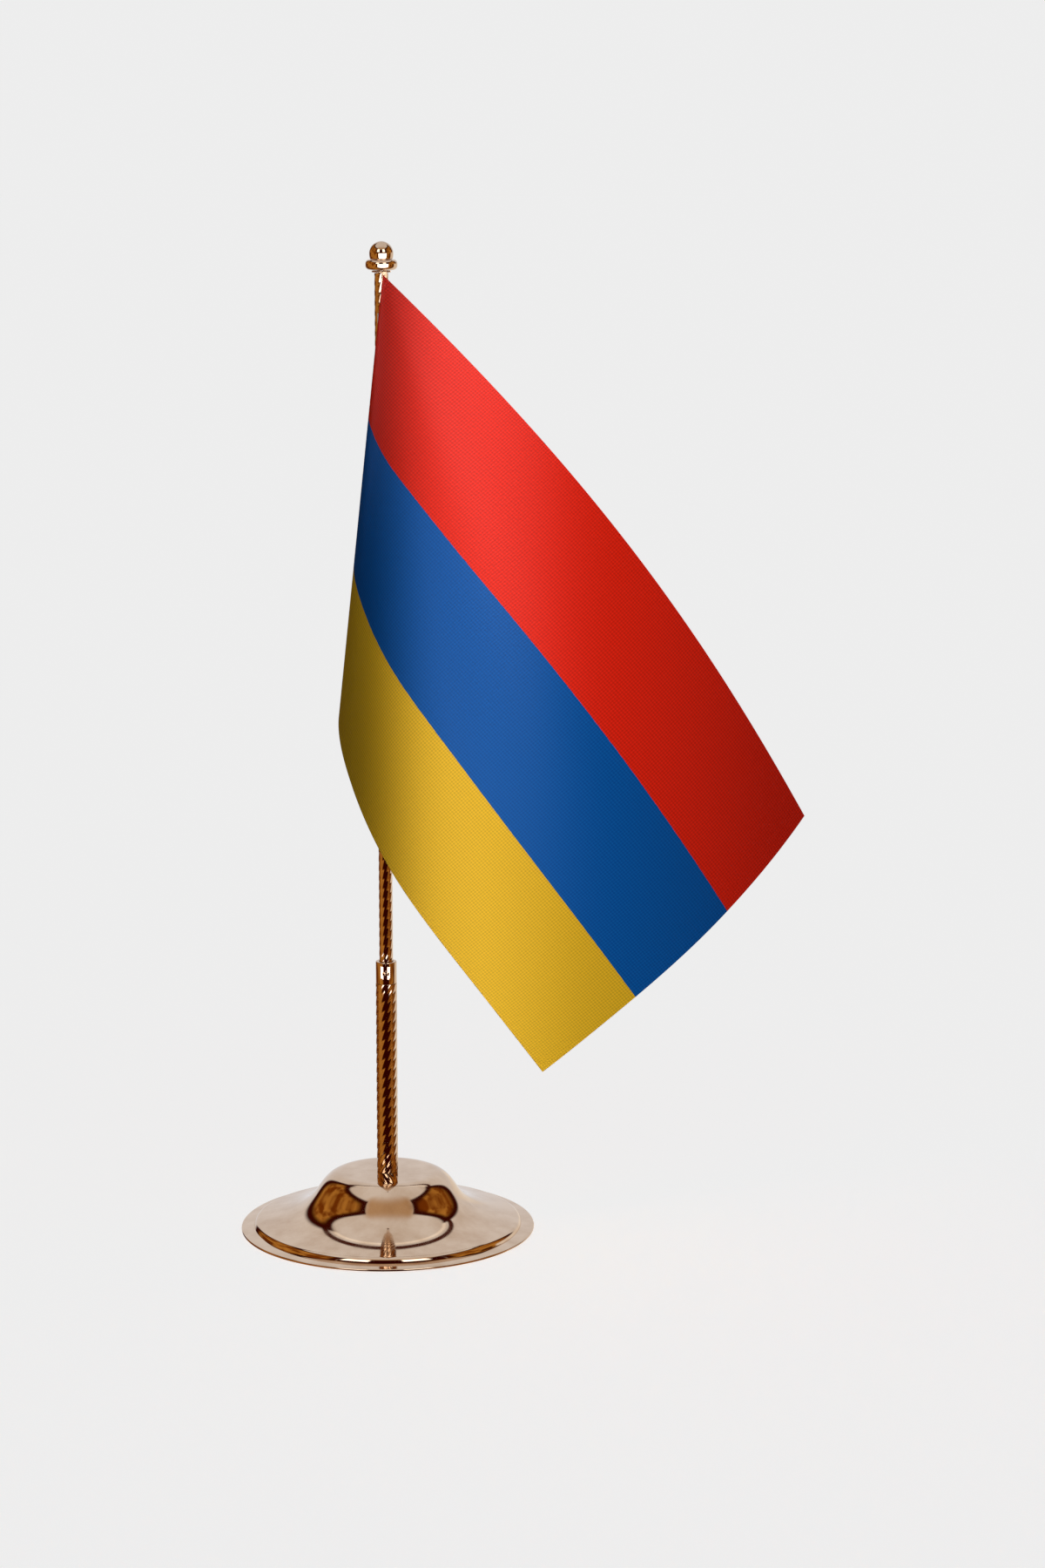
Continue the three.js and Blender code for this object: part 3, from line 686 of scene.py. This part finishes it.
# threads, in millimetres of the flat sheet
across = reckon(tree, "MULTIPLY", parts["X"], FLY / MM)
down = reckon(tree, "MULTIPLY", parts["Y"], HOIST / MM)
slant = reckon(tree, "ADD", across, down)
other_slant = reckon(tree, "SUBTRACT", across, down)
twill = reckon(tree, "SINE", reckon(tree, "MULTIPLY", slant, 2 * math.pi / TWILL))
cross = reckon(tree, "SINE", reckon(tree, "MULTIPLY", other_slant, 2 * math.pi / CROSS))
dots = reckon(tree, "MULTIPLY", twill, cross)
slub = noise(tree, sheet_map, 260.0, detail=3.0)
weave = reckon(tree, "MULTIPLY_ADD", slub, 1.2, dots)
shade = stretch(tree, weave, *WEAVE, 0.72, 1.16)
feed(tree, shader, {
    "Base Color": add(tree, "ShaderNodeVectorMath", {"operation": "SCALE"}, {
        0: print_colour, 3: shade}).outputs[0],
    "Roughness": stretch(tree, weave, *WEAVE, 0.62, 0.5),
    "Normal": relief(tree, weave, 0.35, 0.08 * MM),
    "Specular IOR Level": 0.1,
    "Sheen Weight": 0.02,
    "Sheen Roughness": 0.4,
})
paint(satin, flag)
# the plating mirrors the room alone, without the flag
flag.visible_glossy = False

# %% [markdown]
# ## Ribbon, tape and felt
# The ribbon, woven with a metal thread, and the cotton tape are ribbed, a rib every 0.6 mm. Felt is
# matted wool with no weave at all, only a soft, uneven nap.

# %% Ribbed bands and felt
RIB = 0.6 * MM


def ribbed(name, colour, dark, metallic, roughness):
    material, tree, shader = new_material(name)
    place = add(tree, "ShaderNodeTexCoord").outputs["Object"]
    turns = reckon(tree, "MULTIPLY", split(tree, place)["Z"], 2 * math.pi / RIB)
    fuzz = noise(tree, place, 2500.0)
    height = reckon(tree, "ADD", reckon(tree, "SINE", turns), fuzz)
    feed(tree, shader, {
        "Base Color": blend(tree, stretch(tree, height, -1.0, 1.8), linear(dark), linear(colour)),
        "Normal": relief(tree, height, 0.5, 0.08 * MM),
        "Metallic": metallic,
        "Roughness": roughness,
        "Sheen Weight": 0.2,
    })
    return material


lurex = ribbed("beige ribbon with metal thread", "d8b894", "a07f5e", metallic=0.8, roughness=0.3)
cotton = ribbed("white cotton tape", "ece8de", "bdb6a8", metallic=0.0, roughness=0.8)
paint(lurex, ribbon)
paint(cotton, tape, *loops)

wool, tree, shader = new_material("green wool felt")
place = add(tree, "ShaderNodeTexCoord").outputs["Object"]
nap = noise(tree, place, 900.0, detail=6.0, roughness=0.7)
fibres = add(tree, "ShaderNodeTexVoronoi", inputs={"Vector": place, "Scale": 1600.0})
pile = reckon(tree, "ADD", nap, fibres.outputs["Distance"])
feed(tree, shader, {
    "Base Color": blend(tree, nap, linear("152c21"), linear("2a4c3a")),
    "Normal": relief(tree, pile, 0.8, 0.3 * MM),
    "Roughness": 0.95,
    "Sheen Weight": 0.4,
})
paint(wool, felt)

# %% [markdown]
# ## Hidden hardware
# Inside, the stand is held by plain hardware: zinc-plated steel, free-cutting brass and a cast iron
# ring. None of it is polished, so each is rougher than the plate and shows how it was made.

# %% Hardware
def hardware(name, colour, dark, grain, roughness, bump, metallic=1.0):
    material, tree, shader = new_material(name)
    place = add(tree, "ShaderNodeTexCoord").outputs["Object"]
    marks = noise(tree, place, grain, detail=5.0, roughness=0.6)
    feed(tree, shader, {
        "Base Color": blend(tree, marks, linear(dark), linear(colour)),
        "Roughness": stretch(tree, marks, 0.0, 1.0, roughness * 0.8, roughness * 1.3),
        "Normal": relief(tree, marks, bump, 0.05 * MM),
        "Metallic": metallic,
    })
    return material


zinc = hardware("zinc-plated steel", "b4b6ba", "8b8d91", 1500.0, 0.34, 0.2)
brass = hardware("free-cutting brass", "c9a35c", "a9823f", 1800.0, 0.3, 0.2)
iron = hardware("cast iron, as cast", "55534f", "37352f", 700.0, 0.75, 0.9, 0.85)
sheet_steel = hardware("galvanised sheet steel", "a7abad", "83888b", 300.0, 0.42, 0.15)
paint_node(zinc, "foot_screw", "lock_washer", "flat_washer", "friction_ring", "finial_stud")
paint_node(brass, "foot_plug", "stop_bush", "top_plug")
paint_node(iron, "ballast")
paint_node(sheet_steel, "base_plate")

# %% [markdown]
# ## Studio
# The floor and the backdrop are plain and pale, and only the camera sees them. They glow a little,
# so that they stay even, and take a soft shadow from the sky where the base meets the floor.

# %% Floor and backdrop
STUDIO_R = 9.0
BACKDROP = 0.85
FLOOR_GREY = 0.9
SKY = 0.12


def stage_only(piece, name, camera=False, glossy=False):
    piece.name = name
    piece.visible_camera = camera
    piece.visible_glossy = glossy
    piece.visible_diffuse = False
    piece.visible_transmission = False
    piece.visible_shadow = False


def glow(name, colour):
    material, tree, shader = new_material(name)
    tree.nodes.remove(shader)
    light = add(tree, "ShaderNodeEmission", inputs={"Color": colour})
    tree.links.new(light.outputs[0], tree.nodes["Material Output"].inputs["Surface"])
    return material


begin()
bpy.ops.mesh.primitive_circle_add(vertices=128, radius=STUDIO_R, fill_type="NGON")
floor = bpy.context.object
stage_only(floor, "floor", camera=True)
floor_paper, tree, shader = new_material("pale paper floor")
feed(tree, shader, {
    "Base Color": (FLOOR_GREY, FLOOR_GREY, FLOOR_GREY, 1),
    "Roughness": 1.0,
    "Specular IOR Level": 0.0,
    "Emission Color": (1, 1, 1, 1),
    "Emission Strength": BACKDROP - FLOOR_GREY * SKY,
})
paint(floor_paper, floor)

begin()
bpy.ops.mesh.primitive_uv_sphere_add(segments=64, ring_count=32, radius=STUDIO_R)
backdrop = bpy.context.object
stage_only(backdrop, "backdrop", camera=True)
paint(glow("pale backdrop", (BACKDROP, BACKDROP, BACKDROP, 1)), backdrop)

# %% [markdown]
# ## What the plating mirrors
# A mirror finish shows the room round it, so only the glossy rays see this dome: pale behind and
# overhead, brown panelled walls at both sides, a dark wall in front and two bright windows in it,
# a cornice and a strip of light on the ceiling, and a shelf and a pale door low in the side walls.
# Each part is a mask on the direction: `back` and `right` say which way round it lies, `aside` how
# far to either side, and `up` how high, as a share of the dome's radius.

# %% Mirrored room
ROOM_R = 4.0
CEILING = (0.74, 0.66)
WHITE = (1.1, 1.1, 1.1, 1)
WINDOW_WHITE = (3.0, 3.0, 3.0, 1)
CREAM = (0.9, 0.85, 0.78, 1)
PALE = (0.80, 0.80, 0.83, 1)

begin()
bpy.ops.mesh.primitive_uv_sphere_add(segments=64, ring_count=32, radius=ROOM_R)
room = bpy.context.object
stage_only(room, "mirrored_room", glossy=True)
room_paint = glow("room seen in the plating", PALE)
tree = room_paint.node_tree
place = add(tree, "ShaderNodeTexCoord").outputs["Object"]
parts = split(tree, place)
level = add(tree, "ShaderNodeCombineXYZ", inputs={0: parts["X"], 1: parts["Y"]}).outputs[0]
heading = split(tree, add(tree, "ShaderNodeVectorMath", {"operation": "NORMALIZE"}, {0: level}).outputs[0])
right, back = heading["X"], heading["Y"]
aside = reckon(tree, "ABSOLUTE", right)
up = reckon(tree, "DIVIDE", parts["Z"], ROOM_R)


def mask(value, start, end):
    return add(tree, "ShaderNodeMapRange", {"interpolation_type": "SMOOTHSTEP"}, {
        "Value": value, "From Min": start, "From Max": end}).outputs[0]


def both(first, *others):
    for other in others:
        first = reckon(tree, "MULTIPLY", first, other)
    return first


# each wall ends a little sooner on the right than on the left, at its front and at its back
near = reckon(tree, "MULTIPLY_ADD", right, -0.09, back)
far = reckon(tree, "MULTIPLY_ADD", right, 0.12, back)
wall = both(mask(near, -0.7, -0.66), mask(far, 0.84, 0.78), mask(up, 0.81, 0.77))
panel = both(mask(near, -0.62, -0.5), mask(far, 0.74, 0.6), mask(up, *CEILING))
facing = both(mask(near, -0.66, -0.7), mask(up, *CEILING))
front_ceiling = both(mask(near, -0.5, -0.8), mask(up, 1.0, 0.76))
behind = both(mask(back, -0.45, -0.2), mask(aside, 1.0, 0.9))
cornice = both(behind, mask(up, 0.7, 0.712), mask(up, 0.752, 0.74))
light_strip = both(behind, mask(up, 0.765, 0.775), mask(up, 0.8, 0.79))
low = mask(up, 0.2, 0.05)
pale_door = both(low, mask(right, 0.1, 0.2), mask(back, 0.22, 0.3))
door_frame = both(low, mask(right, 0.1, 0.2), mask(back, -0.12, -0.02), mask(back, 0.22, 0.14))
side_panel = both(low, mask(aside, 0.52, 0.62), mask(back, -0.4, -0.55))
dark_shelf = both(low, mask(right, -0.1, -0.2), mask(back, 0.3, 0.4), mask(back, 0.75, 0.6))
window = both(facing, mask(aside, 0.24, 0.28), mask(aside, 0.66, 0.6), mask(up, 0.3, 0.36))
grain = noise(tree, place, 0.9, detail=3.0)
panels = blend(tree, mask(grain, 0.35, 0.6), linear("7a3c08"), linear("c28a3c"))

# painted in this order, each over what is there
colour = PALE
for share, top in (
    (front_ceiling, linear("c4a684")), (cornice, linear("4a1c08")), (light_strip, WHITE),
    (wall, linear("3b0c02")), (panel, panels), (dark_shelf, linear("6a3410")),
    (door_frame, linear("4a2008")), (pale_door, CREAM), (facing, linear("350500")),
    (side_panel, panels), (window, WINDOW_WHITE),
):
    colour = blend(tree, share, colour, top)
feed(tree, tree.nodes["Emission"], {"Color": colour})
paint(room_paint, room)
print("room:", len(tree.nodes), "nodes")

# %% [markdown]
# ## Small reflectors
# Jewellers light small bright parts with bits of white card held close. One card stands in front of
# the finial, and two narrow ones in front of the ferrule, on each side of its slit.

# %% White cards
CARD_WHITE = (3.2, 3.2, 3.4, 1)
FINIAL_CARD = (96 * MM, 62 * MM)
FINIAL_CARD_AWAY = 60 * MM
FINIAL_CARD_DROP = 22 * MM
FERRULE_CARD = (9 * MM, 7.4 * MM)
FERRULE_CARD_AWAY = 18 * MM
FERRULE_CARD_DROP = 7.2 * MM


def white_card(name, widest):
    paper = glow(name, CARD_WHITE)
    tree = paper.node_tree
    clear = add(tree, "ShaderNodeBsdfTransparent")
    # the card is white only where it is looked at squarely, so that the base below doesn't mirror it
    facing = add(tree, "ShaderNodeLayerWeight", inputs={"Blend": 0.5}).outputs["Facing"]
    square = reckon(tree, "LESS_THAN", facing, 1 - math.cos(math.radians(widest)))
    choice = add(tree, "ShaderNodeMixShader", inputs={
        0: square, 1: clear.outputs[0], 2: tree.nodes["Emission"].outputs[0]})
    feed(tree, tree.nodes["Material Output"], {"Surface": choice.outputs[0]})
    return paper


def card(name, paper, heading, away, height, size):
    turn_z = math.radians(heading)
    place = (away * math.sin(turn_z), -away * math.cos(turn_z), height)
    begin()
    bpy.ops.mesh.primitive_plane_add(size=1, rotation=(math.radians(90), 0, turn_z), location=place)
    piece = bpy.context.object
    piece.scale = (*size, 1)
    fix_place(piece)
    stage_only(piece, name, glossy=True)
    paint(paper, piece)


wide_paper = white_card("white card", widest=45)
narrow_paper = white_card("narrow white card", widest=34)
card("card_finial", wide_paper, 14, FINIAL_CARD_AWAY, flange_low.z - FINIAL_CARD_DROP, FINIAL_CARD)
for side, heading in (("left", -42), ("right", 26)):
    card("card_ferrule_" + side, narrow_paper, heading, FERRULE_CARD_AWAY,
         ferrule_high.z - FERRULE_CARD_DROP, FERRULE_CARD)

# %% [markdown]
# ## Light
# The lamps reach the cloth alone, since the plating has the room to mirror. They stand just above the
# camera, behind soft masks: full in a tall band over the body of the flag, falling off towards the
# fold and the fly. A first lamp gives the colour and a second, narrower one only the white sheen along
# the swell. A broad lamp lights the back of the cloth, and a weak even sky lights everything.

# %% Masked lamps
KEY_PLACE = (CAMERA_PLACE[0], CAMERA_PLACE[1], 0.45)
KEY_AIM = (CAMERA_PLACE[0], 0, 0.19)
KEY_CONE = math.radians(40)
KEY_R = 8 * MM
KEY_WATTS = 68
SHEEN_WATTS = 520
MASK_SPAN = (-60 * MM, 90 * MM)
# the share of light that passes, at each distance to the right of the lamp's axis in the flag's plane
KEY_MASK = [(-56 * MM, 0.0), (-47 * MM, 0.1), (-41 * MM, 0.32), (-28 * MM, 0.88), (-11 * MM, 1.0),
            (6 * MM, 0.84), (20 * MM, 0.65), (55 * MM, 0.44), (82 * MM, 0.25)]
SHEEN_MASK = [(-41 * MM, 0.0), (-28 * MM, 0.8), (-15 * MM, 1.0), (0.0, 0.7), (12 * MM, 0.2), (25 * MM, 0.0)]

cloth = bpy.data.collections.new("lit cloth")
for piece in (flag, felt, ribbon, tape, *loops):
    cloth.objects.link(piece)


def lamp(kind, name, place, aim, watts):
    begin()
    bpy.ops.object.light_add(type=kind, location=place)
    light = bpy.context.object
    light.name = name
    light.data.energy = watts
    light.rotation_euler = (Vector(aim) - light.location).to_track_quat("-Z", "Y").to_euler()
    light.visible_camera = False
    light.light_linking.receiver_collection = cloth
    return light


def masked(name, watts, shares):
    light = lamp("SPOT", name, KEY_PLACE, KEY_AIM, watts)
    light.data.spot_size = KEY_CONE
    light.data.shadow_soft_size = KEY_R
    light.data.use_nodes = True
    tree = light.data.node_tree
    # the ray's slope to a side of the lamp's axis says how far to that side it meets the flag's plane
    ray = split(tree, add(tree, "ShaderNodeTexCoord").outputs["Normal"])
    slope = reckon(tree, "DIVIDE", ray["X"], ray["Z"])
    reach = -KEY_PLACE[1]
    span = stretch(tree, slope, -MASK_SPAN[0] / reach, -MASK_SPAN[1] / reach)
    ramp = add(tree, "ShaderNodeValToRGB", inputs={0: span})
    stops = ramp.color_ramp.elements
    for k, (sideways, share) in enumerate(shares):
        position = (sideways - MASK_SPAN[0]) / (MASK_SPAN[1] - MASK_SPAN[0])
        stop = stops[k] if k < 2 else stops.new(position)
        stop.position = position
        stop.color = (share, share, share, 1)
    feed(tree, tree.nodes["Emission"], {"Color": ramp.outputs[0]})
    return light


key = masked("key", KEY_WATTS, KEY_MASK)
key.visible_glossy = False
sheen_lamp = masked("sheen", SHEEN_WATTS, SHEEN_MASK)
sheen_lamp.visible_diffuse = False
print("key", KEY_WATTS, "W, sheen", SHEEN_WATTS, "W")

# %% Lamps for the back and the sky
REAR_PLACE = (0.5, 1.3, 0.7)
REAR_AIM = (0.03, 0, 0.2)
REAR_WATTS = 9
REAR_SIDE = 0.9

rear = lamp("AREA", "rear", REAR_PLACE, REAR_AIM, REAR_WATTS)
rear.data.size = REAR_SIDE
scene.world = bpy.data.worlds.new("studio sky")
scene.world.use_nodes = True
sky = scene.world.node_tree.nodes["Background"]
sky.inputs["Color"].default_value = (1, 1, 1, 1)
sky.inputs["Strength"].default_value = SKY
